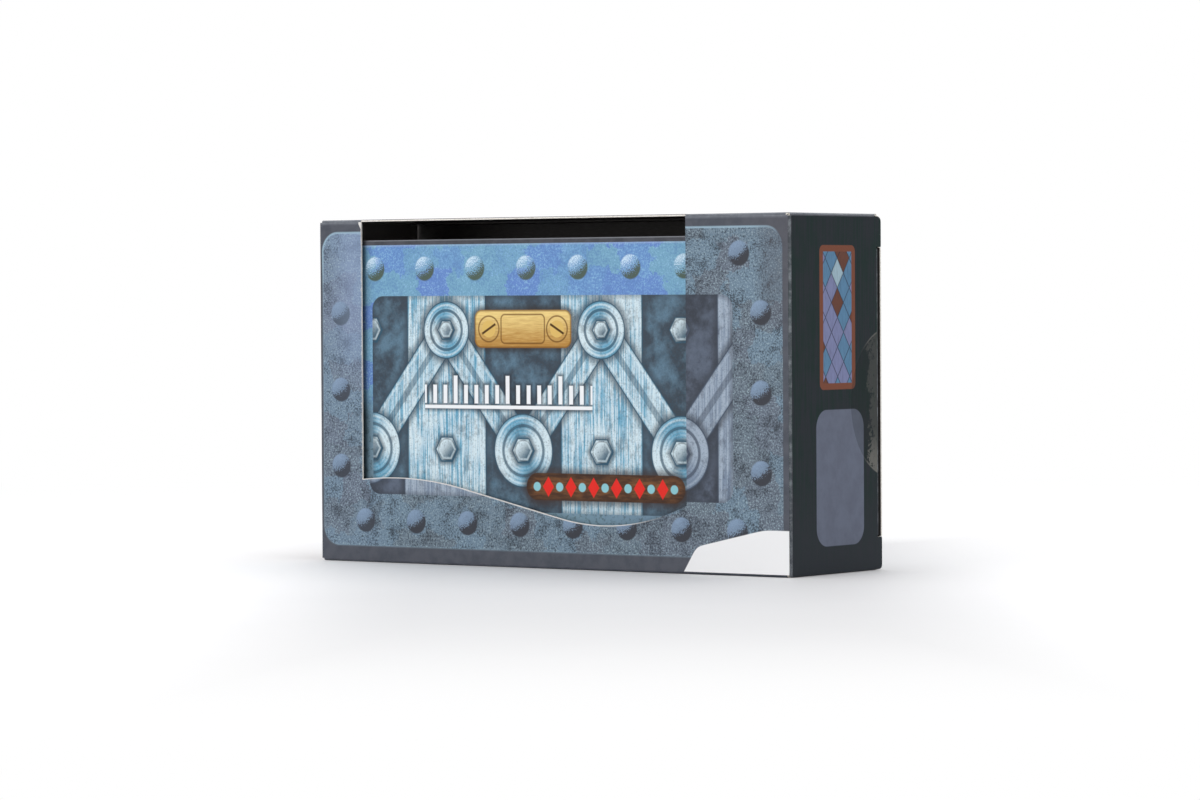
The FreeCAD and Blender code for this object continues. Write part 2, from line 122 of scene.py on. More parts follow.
# Printed plates, and the picture that window and front panel share
FRONT_PLATE = ((LEFT + 0.8, 4.3), (RIGHT - 2.3, HEIGHT - 3.35))
BACK_PLATE = ((LEFT + 4.5, 4.3), (RIGHT - 4.5, HEIGHT - 4.3))
TOP_PLATE = ((LEFT + 4.5, FRONT + 4.0), (RIGHT - 4.5, BACK - 4.0))
PLATE_RADIUS = 5.0
PICTURE_LEFT, PICTURE_RIGHT, PICTURE_TOP = LEFT + 16.3, RIGHT - 17.3, HEIGHT - 20.1
FACE_PICTURE = ((PICTURE_LEFT, 14.2), (PICTURE_RIGHT, PICTURE_TOP))
PANEL_PICTURE = ((PICTURE_LEFT, 18.0), (PICTURE_RIGHT, PICTURE_TOP))
PICTURE_RADIUS = 3.5
LABEL_RADIUS = 4.6
RIVET_RADIUS = 3.2

# Clear round seal that holds the end panel shut, its centre a little way round on the back panel
SEAL_RADIUS = 19.0
SEAL_HEIGHT = 42.4
SEAL_PAST_EDGE = 5.0
SEAL_SHINE = 0.22

# The photograph's view, from a fit to the carton's corners; the lens is for a sensor 36 mm wide
EYE = Vector((718.2, -971.7, 70.2))
YAW = math.radians(36.407)
PITCH = math.radians(-1.304)
ROLL = math.radians(-0.326)
LENS = 139.97

# Floor and light
FLOOR_REACH = 3000.0
FLOOR_DROP = 0.05
AMBIENT = 0.36
WHITE = (1, 1, 1, 1)

# Plies of a plate, rounding of the wood's edges, and slant of hexagon sides and screw slots
PLIES = 3
SANDED = 0.2
SLANT = math.radians(30)


def sill_wave():
    """Angle of the sill's straight slope, radii of its crest and trough arcs, and the slope's two ends."""
    run, drop = TROUGH.x - CREST.x, CREST.y - TROUGH.y
    slope = math.atan(WAVE_STEEPNESS * drop / run)
    radii = (run * math.sin(slope) - drop * math.cos(slope)) / (1 - math.cos(slope))
    crest, trough = CREST_SHARE * radii, (1 - CREST_SHARE) * radii
    top = CREST.x + crest * math.sin(slope)
    foot = TROUGH.x - trough * math.sin(slope)
    return slope, crest, trough, top, foot


def sill_height(x):
    """Height of the window's wavy sill: crest arc, straight slope, trough arc."""
    slope, crest, trough, top, foot = sill_wave()
    if x <= top:
        return CREST.y - crest + math.sqrt(crest ** 2 - (x - CREST.x) ** 2)
    if x >= foot:
        return TROUGH.y + trough - math.sqrt(trough ** 2 - (x - TROUGH.x) ** 2)
    return TROUGH.y + trough * (1 - math.cos(slope)) + (foot - x) * math.tan(slope)


def ink(code):
    """A screen colour such as #53565f as the linear values that shaders take."""
    parts = [int(code[i:i + 2], 16) / 255 for i in (1, 3, 5)]
    return (*Color(parts).from_srgb_to_scene_linear(), 1.0)


def operator(operation):
    """A method of Term that works out this operation."""
    return lambda term, *others: term.graph.number(operation, term, *others)


class Term:
    """A number, colour or shader that is worked out at each point."""

    def __init__(self, graph, socket):
        self.graph = graph
        self.socket = socket

    __add__ = __radd__ = operator("ADD")
    __sub__ = operator("SUBTRACT")
    __mul__ = __rmul__ = operator("MULTIPLY")
    __truediv__ = operator("DIVIDE")
    __abs__ = operator("ABSOLUTE")
    most = operator("MAXIMUM")
    least = operator("MINIMUM")
    soft_most = operator("SMOOTH_MAX")
    floor = operator("FLOOR")
    whole = operator("ROUND")
    wrap = operator("WRAP")
    root = operator("SQRT")
    sine = operator("SINE")
    angle = operator("ARCTAN2")

    def __rsub__(self, other):
        return self.graph.number("SUBTRACT", other, self)

    def step(self, start, end):
        """0 before start and 1 after end, smooth between; the other way round where start is the larger."""
        settings = {"interpolation_type": "SMOOTHSTEP", "clamp": False}
        return self.graph.term("MapRange", self, start, end, **settings)

    def inside(self, soft=0.12):
        """1 where a distance is less than 0, with an edge that soft to either side."""
        return self.step(soft, -soft)

    def tint(self, below, above):
        """The colour below, covered by the colour above by this share."""
        return self.graph.mix(self, below, above)

    def coat(self, share, above):
        """This colour, covered by the colour above by that share."""
        return self.graph.mix(share, self, above)


class Graph:
    """The nodes of a material or a world."""

    def __init__(self, tree):
        self.tree = tree

    def feed(self, socket, value):
        """Links a term to a socket, or sets a number, colour or vector there."""
        if isinstance(value, Term):
            self.tree.links.new(value.socket, socket)
        else:
            socket.default_value = ink(value) if isinstance(value, str) else value

    def node(self, kind, *values, **settings):
        """A new node: values go to its first sockets, settings to sockets or properties of those names."""
        node = self.tree.nodes.new("ShaderNode" + kind)
        for name, value in settings.items():
            if name in node.inputs:
                self.feed(node.inputs[name], value)
            else:
                setattr(node, name, value)
        for socket, value in zip(node.inputs, values):
            self.feed(socket, value)
        return node

    def term(self, kind, *values, **settings):
        """The first output of a new node."""
        return Term(self, self.node(kind, *values, **settings).outputs[0])

    def number(self, operation, *terms):
        return self.term("Math", *terms, operation=operation)

    def mix(self, share, below, above):
        """The colour below, covered by the colour above by that share."""
        node = self.node("Mix", share, data_type="RGBA")
        for index, value in ((6, below), (7, above)):
            self.feed(node.inputs[index], value)
        return Term(self, node.outputs[2])


class Paint(Graph):
    """A material whose colour and relief follow a point's place on the part."""

    def __init__(self, name):
        self.material = bpy.data.materials.new(name)
        self.material.use_nodes = True
        super().__init__(self.material.node_tree)
        self.shader = self.tree.nodes["Principled BSDF"]
        point = self.node("TexCoord").outputs
        self.place = self.mapped(Term(self, point["Object"]), (1 / MM, 1 / MM, 1 / MM))
        self.x, self.y, self.z = self.split(self.place)
        self.facing_x, self.facing_y = self.split(Term(self, point["Normal"]))[:2]

    def split(self, vector):
        return [Term(self, socket) for socket in self.node("SeparateXYZ", vector).outputs]

    def mapped(self, place, stretch, shift=0.0):
        """A place stretched along X, Y and Z, then shifted."""
        return self.term("Mapping", place, Scale=stretch, Location=(shift, shift, shift))

    def noise(self, stretch, detail=4, rough=0.6, place=None, seed=0.0):
        """Cloudy noise from 0 to 1, with stretch spots in a millimetre: one number, or one for each axis."""
        if isinstance(stretch, float):
            stretch = (stretch, stretch, stretch)
        place = self.mapped(place or self.place, stretch, seed)
        return self.term("TexNoise", place, Scale=1.0, Detail=detail, Roughness=rough)

    def chance(self, row, column):
        """One fixed random number from 0 to 1 for each pair of whole numbers."""
        return self.term("TexWhiteNoise", noise_dimensions="1D", W=row * 57.31 + column * 13.17)

    def finish(self, colour, roughness, height=None, relief=0.02, specular=0.5):
        """Sets the shader; roughness is a number or a term, and relief is in millimetres."""
        self.feed(self.shader.inputs["Base Color"], colour)
        self.feed(self.shader.inputs["Roughness"], roughness)
        self.shader.inputs["Specular IOR Level"].default_value = specular
        if height:
            bump = self.term("Bump", Distance=relief * MM, Height=height)
            self.feed(self.shader.inputs["Normal"], bump)
        return self.material


def length(u, v):
    return (u * u + v * v).root()


def box(u, v, area, radius):
    """Distance from the edge of a rounded rectangle, less than 0 inside it."""
    (u0, v0), (u1, v1) = area
    du = abs(u - (u0 + u1) / 2) - ((u1 - u0) / 2 - radius)
    dv = abs(v - (v0 + v1) / 2) - ((v1 - v0) / 2 - radius)
    return length(du.most(0.0), dv.most(0.0)) + du.most(dv).least(0.0) - radius


def nearest(u, start, pitch, count):
    """u measured from the nearest of count places, pitch apart."""
    index = ((u - start) / pitch).whole().most(0.0).least(count - 1.0)
    return u - start - index * pitch


# Printed inks

PRINT_GLOSS = 0.14
DARK_GLOSS = 0.05

CARTON_INKS = SimpleNamespace(
    border="#53565f", border_dark="#484c55",
    plate="#66747f", plate_cool="#6b8193", plate_warm="#646d7d", speck="#363d45",
    spark="#abc0ca", scuffed=0.92,
    rivet_lit="#7b91ab", rivet_shade="#302e32", rivet_glint="#889eb9",
    dome=0.75, shade_from=-0.02, glint=(-0.1, -0.8), ragged=2.0,
    ground="#363b45", ground_light="#5c6677",
    metal="#76869b", metal_light="#a3b1c1", metal_edge="#424d5e",
)
FACE_INKS = SimpleNamespace(
    border="#4e4f56", border_dark="#3f4147",
    plate="#6b98ca", plate_cool="#74a4c0", plate_warm="#6583c9", speck="#5b7fb4",
    spark="#98c2dd", scuffed=0.5,
    rivet_lit="#93bddd", rivet_shade="#48543f", rivet_glint="#daedfa",
    dome=0.25, shade_from=0.12, glint=(-0.25, -0.6), ragged=3.2,
    ground="#39434e", ground_light="#5f7c90",
    metal="#69a6c4", metal_light="#d6e7ee", metal_edge="#2f5368",
)


def plate(paint, u, v, inks, pale=0.0):
    """Weathered sheet metal: patches of three tones, dark scuffs, bright grain and a share of pale ink."""
    tall, wide, stagger = 7.5, 10.0, 3.7
    drift = paint.noise(0.14, rough=0.65, seed=3) * 14
    row = ((v + drift) / tall).floor()
    column = ((u + drift + row * stagger) / wide).floor()
    patch = paint.chance(row, column)
    grain = paint.noise(2.0, detail=2, rough=0.85, seed=11)
    cloud = paint.noise(0.2, detail=7, rough=0.72, seed=7)
    dither = grain * 0.9 + cloud * 0.2
    base = (dither + patch * 0.45).step(0.7, 0.85).tint(inks.plate, inks.plate_cool)
    base = base.coat((dither - patch * 0.45).step(0.34, 0.48) * 0.75, inks.plate_warm)
    base = base.coat(pale, "#8d9fc1")
    scuff = (cloud * 0.45 + grain * 0.55).step(0.5, 0.58)
    base = base.coat(scuff * (inks.scuffed - pale * 1.1), inks.speck)
    spark = grain.step(0.48, 0.36) * cloud.step(0.64, 0.42)
    return base.coat(spark * 0.7, inks.spark)


def rivets(paint, below, places, inks, faded=0.0):
    """Domed rivet heads centred where a place's u and v are 0, with a ragged shade at the lower right."""
    shade_u, shade_v = 0.5, -0.87
    speckle = paint.noise((3.6, 3.6, 3.0), detail=2, rough=0.75, seed=23) - 0.5
    depth = 0.93 - faded * 0.7
    for u, v in places:
        out = length(u, v) / RIVET_RADIUS
        past_light = (u * shade_u + v * shade_v) / RIVET_RADIUS + out * out * 0.3 + speckle * inks.ragged
        dome = below.coat(inks.dome, inks.rivet_lit)
        dome = dome.coat(past_light.step(*inks.glint) * 0.8, inks.rivet_glint)
        shade = past_light.step(inks.shade_from, inks.shade_from + 0.3)
        dome = dome.coat(shade * depth, inks.rivet_shade)
        below = below.coat(out.step(1.06, 0.9), dome)
    return below


def raised(below, distance, fill, inks, drop=2.4):
    """A flat metal shape with a bright chamfer and dark rim, casting a soft shadow on what lies below."""
    below = below.coat(distance.step(drop, 0.0) * 0.72, inks.ground)
    chamfer = distance.step(-1.5, -1.05) * distance.step(-0.55, -0.95)
    fill = fill.coat(chamfer * 0.6, inks.metal_light)
    fill = fill.coat(distance.step(-0.55, -0.15), inks.metal_edge)
    return below.coat(distance.inside(0.1), fill)


def link_bar(below, u, v, start, end, brush, inks):
    """A flat brushed bar with round ends and a groove down its middle."""
    half_width = 4.6
    run = Vector(end) - Vector(start)
    along_u, along_v = run.normalized()
    along = (u - start[0]) * along_u + (v - start[1]) * along_v
    across = (v - start[1]) * along_u - (u - start[0]) * along_v
    past = along - along.most(0.0).least(run.length)
    fill = brush.step(0.34, 0.62).tint(inks.metal, inks.metal_light)
    fill = fill.coat(abs(across).step(1.0, 0.7) * 0.55, inks.metal_edge)
    return raised(below, length(past, across) - half_width, fill, inks)


def turned_disc(below, u, v, radius, inks):
    """A turned disc centred where u and v are 0, with ring grooves, a round sheen and a hexagon nut."""
    reach = length(u, v)
    angle = v.angle(u)
    sheen = (angle * 2.0 + 0.9).sine() * 0.3
    rings = (reach * 7.0).sine() * 0.08
    fill = (sheen + rings + 0.5).step(0.1, 0.85).tint(inks.metal, inks.metal_light)
    fill = fill.coat(abs(reach - radius * 0.68).step(0.55, 0.25) * 0.8, inks.metal_edge)
    below = raised(below, reach - radius, fill, inks)
    return hexagon_nut(below, u, v, radius * 0.34, inks)


def hexagon_nut(below, u, v, size, inks):
    """A hexagon nut seen from above, with its round chamfer and a slanted light."""
    flat = (abs(u) * math.cos(SLANT) + abs(v) * math.sin(SLANT)).most(abs(v)) - size
    light = ((v - u) / (size * 2) + 0.5).step(-0.1, 1.1)
    fill = light.tint(inks.metal_edge, inks.metal_light)
    ring = abs(length(u, v) - size * 0.82).step(0.3, 0.1)
    fill = fill.coat(ring * 0.6, inks.ground)
    return raised(below, flat, fill, inks, drop=1.4)


def picture(paint, u, v, inks):
    """A generic machine picture: upright brushed sheets under a zigzag of link bars, discs and nuts."""
    start, pitch, count = LEFT + 16.0, 50.0, 3
    low, high = 30.0, 61.0
    sheet_half, low_disc, high_disc, nut = 13.0, 9.5, 7.5, 3.3
    by_low = nearest(u, start, pitch, count)
    by_high = nearest(u, start + pitch / 2, pitch, count)
    cloud = paint.noise(0.11, detail=5, rough=0.65, seed=31)
    brush = paint.noise((2.4, 2.4, 0.07), rough=0.62, seed=41)
    stain = paint.noise((0.5, 0.5, 0.16), detail=5, rough=0.7, seed=47)
    colour = cloud.step(0.38, 0.66).tint(inks.ground, inks.ground_light)
    sheet = (brush * 0.7 + cloud * 0.3).step(0.4, 0.56).tint(inks.metal, inks.metal_light)
    sheet = sheet.coat(stain.step(0.56, 0.7) * 0.5, inks.ground_light)
    area = ((-sheet_half, 0.0), (sheet_half, HEIGHT))
    colour = raised(colour, box(by_high, v, area, 3.0), sheet, inks)
    colour = link_bar(colour, abs(by_low), v, (0.0, low), (pitch / 2, high), brush, inks)
    colour = turned_disc(colour, by_low, v - low, low_disc, inks)
    colour = turned_disc(colour, by_high, v - high, high_disc, inks)
    colour = hexagon_nut(colour, by_low, v - high, nut, inks)
    colour = hexagon_nut(colour, by_high, v - low, nut, inks)
    spray = paint.noise(2.2, detail=2, rough=0.8, seed=43)
    colour = colour.coat(spray.step(0.52, 0.66) * 0.4, inks.metal_edge)
    grime = paint.noise((0.3, 0.3, 0.22), detail=7, rough=0.72, seed=59)
    return colour.coat(grime.step(0.5, 0.68) * 0.45, inks.ground)


def gauge_marks(below, along, v):
    """A row of white scale marks, every fifth one longer, with a dark halo."""
    middle, pitch, half_row, foot = -14.0, 3.4, 27.2, 42.0
    half_wide, half_short, half_more = 0.62, 2.4, 1.2
    u = along - middle
    index = (u / pitch).whole()
    fifth = abs(index.wrap(5.0, 0.0)).step(0.6, 0.4)
    reach = abs(u).step(half_row + 0.1, half_row - 0.1)
    side = abs(u - index * pitch) - half_wide
    half_tall = fifth * half_more + half_short
    end = abs(v - foot - half_tall) - half_tall
    line = (abs(v - foot + 0.9) - 0.45).most(abs(u) - half_row)
    mark = side.most(end).least(line)
    below = below.coat(mark.step(1.3, 0.0) * reach * 0.75, "#2a2f38")
    return below.coat(mark.inside(0.1) * reach, "#f1f3f6")


def brown_bar(paint, below, u, v):
    """A brown rounded bar with pale studs and red lozenges by turns."""
    area = ((-8.0, 17.4), (42.0, 24.4))
    middle = (area[0][1] + area[1][1]) / 2
    start, pitch, studs, stud_radius = -4.6, 7.2, 7, 1.15
    reach = box(u, v, area, 3.5)
    grain = paint.noise((0.25, 0.25, 1.2), seed=53)
    fill = grain.step(0.35, 0.7).tint("#4a2e1d", "#7d5230")
    fill = fill.coat(reach.step(-2.6, 0.2) * 0.7, "#2c1c15")
    stud = length(nearest(u, start, pitch, studs), v - middle) - stud_radius
    fill = fill.coat(stud.inside(), "#8cc6cf")
    between_studs = nearest(u, start + pitch / 2, pitch, studs - 1)
    lozenge = abs(between_studs) * 0.9 + abs(v - middle) * 0.62 - 1.6
    fill = fill.coat(lozenge.inside(0.1), "#e2281f")
    below = below.coat(reach.step(2.6, 0.0) * 0.7, "#3a2a22")
    return below.coat(reach.inside(0.15), fill)


def brass_plate(paint, below, u, v):
    """A plain brass plate held by two slotted screws."""
    left, right, low, high = -24.6, 6.6, 56.4, 66.2
    middle_u, middle_v = (left + right) / 2, (low + high) / 2
    field_inset, rim, screw_inset, screw, ring = 8.6, 1.2, 4.6, 2.2, 3.3
    brush = paint.noise((0.3, 0.3, 3.0), detail=3, seed=61)
    tone = (brush * 0.5 + (v - low) / (high - low) * 0.5).step(0.2, 0.85)
    fill = tone.tint("#b3823c", "#f2d68c")
    area = ((left + field_inset, low + rim), (right - field_inset, high - rim))
    field = box(u, v, area, 1.2)
    fill = fill.coat(abs(field).step(0.32, 0.08) * 0.8, "#6d4719")
    across = abs(u - middle_u) - ((right - left) / 2 - screw_inset)
    head = length(across, v - middle_v)
    fill = fill.coat(abs(head - ring).step(0.32, 0.1) * 0.8, "#6d4719")
    fill = fill.coat(head.step(screw + 0.1, screw - 0.1), "#dcb868")
    from_slot = across * math.sin(SLANT) + (v - middle_v) * math.cos(SLANT)
    slot = abs(from_slot).most(head - screw) - 0.3
    fill = fill.coat(slot.inside(0.1), "#4d3212")
    edge = box(u, v, ((left, low), (right, high)), 2.2)
    fill = fill.coat(edge.step(-0.7, -0.1) * 0.8, "#7a4f1c")
    below = below.coat(edge.step(2.0, 0.0) * 0.75, "#2f2a28")
    return below.coat(edge.inside(), fill)


def show_picture(paint, below, u, v, area, inks):
    """The picture with its marks, bar and plate, set in the sheet metal with a dark edge."""
    colour = picture(paint, u, v, inks)
    colour = gauge_marks(colour, u, v)
    colour = brown_bar(paint, colour, u, v)
    colour = brass_plate(paint, colour, u, v)
    reach = box(u, v, area, PICTURE_RADIUS)
    colour = colour.coat(reach.step(-1.6, 0.0) * 0.45, inks.ground)
    return below.coat(reach.inside(0.1), colour)


def paper_finish(paint, colour, roughness=0.42, relief=0.006, gloss=PRINT_GLOSS):
    """Satin print on coated board, with a fine relief."""
    grain = paint.noise(5.0, detail=2, rough=0.55, seed=71)
    return paint.finish(colour, roughness, grain, relief, specular=gloss)


def fold_wear_and_sheen(paint, colour, distance, reach=0.55, bare=0.0):
    """Ink rubbed thin along a fold, with a painted highlight where the fold catches light, distance away from
    it; bare is the share lightened everywhere along it, rubbed ink and painted highlight alike.
    """
    rub = paint.noise(0.5, detail=5, rough=0.7, seed=83).step(0.4, 0.7) * (0.5 - bare) + bare
    return colour.coat(distance.step(reach, reach * 0.2) * rub, "#aab0b8")


def border(paint, inks):
    cloud = paint.noise(0.3, detail=5, seed=89)
    return cloud.step(0.35, 0.7).tint(inks.border, inks.border_dark)


def plate_in_border(paint, u, v, inks, area, pale=0.0):
    """Weathered plate set in the slate border, its edge paler higher up and not at the right."""
    reach = box(u, v, area, PLATE_RADIUS)
    right = area[1][0]
    colour = border(paint, inks).coat(reach.inside(), plate(paint, u, v, inks, pale))
    edge_line = abs(reach).step(0.4, 0.1) * (v.step(HEIGHT - 22.0, HEIGHT - 8.0) * 0.5 + 0.14)
    return colour.coat(edge_line * u.step(right - 0.6, right - 3.0), "#a6c4d6")


def front_print():
    """Front panel of the carton."""
    paint = Paint("carton_front_print")
    u, v, inks = paint.x, paint.z, CARTON_INKS
    upper_left = v.step(38.0, 66.0) * (u.step(LEFT + 1.0, LEFT + 11.0) * 0.4 + 0.15)
    pale = u.step(LEFT + 25.0, LEFT + 15.0) * (upper_left + 0.08)
    colour = plate_in_border(paint, u, v, inks, FRONT_PLATE, pale)
    upper_right = u.step(RIGHT - 13.0, RIGHT - 5.0) * v.step(58.0, 72.0)
    colour = colour.coat(upper_right * 0.42, "#55545b")
    colour = show_picture(paint, colour, u, v, PANEL_PICTURE, inks)
    left_column = (u - (LEFT + 6.8), nearest(v, start=25.2, pitch=20.1, count=3))
    right_column = (u - (RIGHT - 8.8), nearest(v, start=25.5, pitch=19.9, count=3))
    bottom_row = (nearest(u, start=LEFT + 14.9, pitch=17.0, count=8), v - 11.0)
    top_right = (u - (RIGHT - 15.3), v - (HEIGHT - 9.9))
    colour = rivets(paint, colour, (left_column, right_column, bottom_row, top_right), inks, faded=pale)
    colour = colour.coat(corner_wedge(u, v).inside(), "#f0f0f1")
    colour = fold_wear_and_sheen(paint, colour, RIGHT - u)
    # Painted highlight where the top fold catches the light, with rubbed ink
    colour = fold_wear_and_sheen(paint, colour, HEIGHT - v, reach=1.5, bare=0.3)
    colour = colour.coat(window_edge(paint, u, v), "#e4e1de")
    return paper_finish(paint, colour)


def window_edge(paint, u, v):
    """Share of bare fibre at the window's cut: chips up its left side, a thin line along most of its sill."""
    chip = (paint.noise(1.2, rough=0.7, seed=79) - 0.45).most(0.0)
    side = (WINDOW_LEFT - u) - chip - v.step(HEIGHT - 2.6, HEIGHT - 0.8) * 0.8
    corner = sill_height(WINDOW_LEFT)
    upright = side.inside(0.06) * u.step(WINDOW_LEFT + 0.4, WINDOW_LEFT + 0.2)
    upright = upright * v.step(corner - 0.2, corner)
    line = below_sill(u, v).step(0.3, 0.16) * 0.85
    return upright.most(line * u.step(WINDOW_LEFT - 0.1, WINDOW_LEFT + 0.1) * u.step(38.0, 22.0))


def below_sill(u, v):
    """Distance below the window's sill: from its crest arc, its straight slope or its trough arc."""
    slope, crest, trough, top, foot = sill_wave()
    from_crest = crest - length(u - CREST.x, v - (CREST.y - crest))
    from_slope = (foot - u) * math.sin(slope) + (sill_height(foot) - v) * math.cos(slope)
    from_trough = length(u - TROUGH.x, v - (TROUGH.y + trough)) - trough
    past_top, past_foot = u.step(top - 0.1, top + 0.1), u.step(foot - 0.1, foot + 0.1)
    return from_crest * (1 - past_top) + from_slope * (past_top - past_foot) + from_trough * past_foot


def corner_wedge(u, v):
    """Distance from the edge of the bare white corner at the lower right: leaning side, slope, level top."""
    side_foot, side_lean = 42.2, 0.62
    slope_from, slope_foot, slope_rise = 46.5, 6.9, 0.225
    top = 11.5
    side = (v * side_lean + side_foot - u) / math.hypot(1, side_lean)
    slope = (v - slope_foot - (u - slope_from) * slope_rise) / math.hypot(1, slope_rise)
    corner = side.soft_most(slope, 2.0)
    return corner.soft_most(v - top, 0.8)


def aged_foot(paint, colour, v):
    """The lower half of the film's metal, greyer and mottled."""
    foot = v.step(46.0, 36.0)
    mottle = paint.noise(0.8, rough=0.75, seed=37)
    colour = colour.coat(foot * 0.85, "#738d9b")
    return colour.coat(foot * mottle.step(0.5, 0.62) * 0.5, "#37443f")


def face_print():
    """Printed film on the wooden box, with painted shade from the window's left edge in an upright band left
    of the picture, deepest low down.
    """
    paint = Paint("box_face_print")
    u, v, inks = paint.x, paint.z, FACE_INKS
    colour = aged_foot(paint, plate(paint, u, v, inks), v)
    past_window = WINDOW_LEFT - u
    # Painted shade: the shadow of the window's left edge on the film, darker lower down
    painted_window_shade = past_window.step(-3.6, 1.9) * past_window.step(5.4, 2.4)
    colour = colour.coat(painted_window_shade * (v.step(46.0, 38.0) * 0.38 + 0.54), "#10161c")
    along = nearest(u, start=LEFT + 17.3, pitch=16.6, count=8)
    columns = (abs(u) - (RIGHT - 8.0), nearest(v, start=22.9, pitch=18.1, count=3))
    colour = rivets(paint, colour, ((along, v - (HEIGHT - 13.0)), (along, v - 8.6), columns), inks)
    colour = show_picture(paint, colour, u, v, FACE_PICTURE, inks)
    rim = (FACE_HIGH.z - v).least(v - FACE_LOW.z).least(u - FACE_LOW.x).least(FACE_HIGH.x - u)
    colour = colour.coat(rim.step(1.9, 1.5) * 0.3, "#b9c9e2")
    colour = colour.coat(rim.step(1.4, 1.2), border(paint, inks))
    # Pale cut edge of the film, taken out under the painted window shade
    colour = colour.coat(rim.step(0.35, 0.2) * (0.6 - painted_window_shade * 0.6), "#8d9096")
    return paper_finish(paint, colour, 0.38, relief=0.004)


def end_ink(paint):
    """Green-black ink with a faint upright brush."""
    brush = paint.noise((1.4, 1.4, 0.06), seed=97)
    cloud = paint.noise(0.12, seed=101)
    colour = (brush * 0.6 + cloud * 0.4).step(0.4, 0.6).tint("#1c2c2b", "#282c32")
    foot = paint.z.step(30.0, 0.0)
    return colour.coat(foot * 0.8, "#2e3238")


def label_ink(paint):
    """Slate ink of a bare label, a little clouded."""
    tone = paint.noise(0.2, detail=5, rough=0.65, seed=107)
    return tone.step(0.3, 0.7).tint("#6a7182", "#626878")


def end_print():
    """End panel: a bare label under a strip of lozenge parquetry, with a clear seal over the back edge."""
    paint = Paint("carton_end_print")
    u, v = paint.y, paint.z
    colour = end_ink(paint)
    label = box(u, v, ((-9.2, 7.0), (12.2, 41.0)), LABEL_RADIUS)
    colour = colour.coat(label.inside(), label_ink(paint))
    colour = parquetry(paint, colour, u, v)
    colour, sealed = clear_seal(paint, colour, BACK - u, SEAL_PAST_EDGE, v, wet=0.3)
    colour = fold_wear_and_sheen(paint, colour, u - CLOSURE_LOW.y)
    return paper_finish(paint, colour, 0.4 - sealed * SEAL_SHINE, gloss=DARK_GLOSS)


def clear_seal(paint, below, from_edge, past_edge, v, wet):
    """A clear round film that darkens by the share wet, hazy near the fold, where air lies under it."""
    reach = length(from_edge + past_edge, v - SEAL_HEIGHT) - SEAL_RADIUS
    sealed = reach.inside(0.1)
    ragged = paint.noise(0.3, detail=6, rough=0.8, seed=103) * 13 - 6.5
    stuck = from_edge + ragged - 6.0
    spot = paint.noise(1.1, detail=2, seed=105).step(0.52, 0.57)
    air = stuck.inside(0.4) * (1 - spot * abs(stuck).step(2.8, 0.8))
    haze = v.step(37.0, 27.0) * 0.34 + 0.14
    colour = below.coat(sealed * wet, "#101b1a")
    colour = colour.coat(sealed * air * haze, "#918f89")
    edge_line = abs(reach).step(0.3, 0.1) * from_edge.step(10.0, 4.0)
    return colour.coat(edge_line * 0.3, "#918f89"), sealed


def parquetry(paint, below, u, v):
    """An upright strip of lozenges in blue, brown and pale tones with a wood-brown frame."""
    area = ((-7.5, 46.0), (8.5, 82.0))
    reach = box(u, v, area, 1.6)
    middle_u, middle_v = (Vector(area[0]) + Vector(area[1])) / 2
    wide, tall = 5.4, 7.4
    a = (u - middle_u) / wide + (v - middle_v) / tall
    b = (u - middle_u) / wide - (v - middle_v) / tall
    row, column = a.floor(), b.floor()
    pick = paint.chance(row, column)
    colour = pick.step(0.36, 0.38).tint("#8187ad", "#5f87a8")
    colour = colour.coat(pick.step(0.62, 0.64), "#6b463a")
    colour = colour.coat(pick.step(0.86, 0.88), "#a3bdcb")
    joint = abs(a - row - 0.5).most(abs(b - column - 0.5))
    colour = colour.coat(joint.step(0.44, 0.49) * 0.7, "#2c2f3a")
    grain = paint.noise((2.0, 2.0, 0.3), seed=109)
    colour = colour.coat(grain.step(0.4, 0.75) * 0.3, "#33323c")
    colour = colour.coat(reach.step(-1.7, -1.5), "#7a4b3b")
    return below.coat(reach.inside(), colour)


def riveted_plate(paint, u, v, area, heights):
    """The plate in its border, with a row of rivets at each height."""
    colour = plate_in_border(paint, u, v, CARTON_INKS, area)
    along = nearest(u, start=LEFT + 15.5, pitch=17.0, count=8)
    return rivets(paint, colour, [(along, v - height) for height in heights], CARTON_INKS)


def back_print():
    """Back panel: the riveted plate with two bare label fields."""
    paint = Paint("carton_back_print")
    u, v = paint.x, paint.z
    colour = riveted_plate(paint, u, v, BACK_PLATE, (11.0, HEIGHT - 11.0))
    field = box(u, v, ((-29.0, 20.0), (24.0, 70.0)), LABEL_RADIUS)
    colour = colour.coat(field.inside(), label_ink(paint))
    patch = box(u, v, ((32.0, 20.0), (62.0, 42.0)), 1.5)
    tone = paint.noise(0.2, detail=5, rough=0.65, seed=107)
    colour = colour.coat(patch.inside(), tone.tint("#ececed", "#e2e2e4"))
    colour, sealed = clear_seal(paint, colour, RIGHT - u, -SEAL_PAST_EDGE, v, wet=0.06)
    return paper_finish(paint, colour, 0.42 - sealed * SEAL_SHINE)


def top_print():
    """Top panel: the riveted plate with nothing else on it."""
    paint = Paint("carton_top_print")
    rows = (BACK - 10.0, FRONT + 10.0)
    return paper_finish(paint, riveted_plate(paint, paint.x, paint.y, TOP_PLATE, rows))


def plain_print():
    """Slate border ink on folds, the bottom and the small flaps, with rubbed ink and a painted highlight
    along the top folds.
    """
    paint = Paint("carton_plain_print")
    rub = paint.noise(0.6, detail=5, rough=0.7, seed=113)
    colour = border(paint, CARTON_INKS).coat(rub.step(0.55, 0.75) * 0.35, "#8b9097")
    # Painted highlight along the top folds, with rubbed ink
    colour = fold_wear_and_sheen(paint, colour, HEIGHT - paint.z, reach=0.8, bare=0.35)
    return paper_finish(paint, colour)


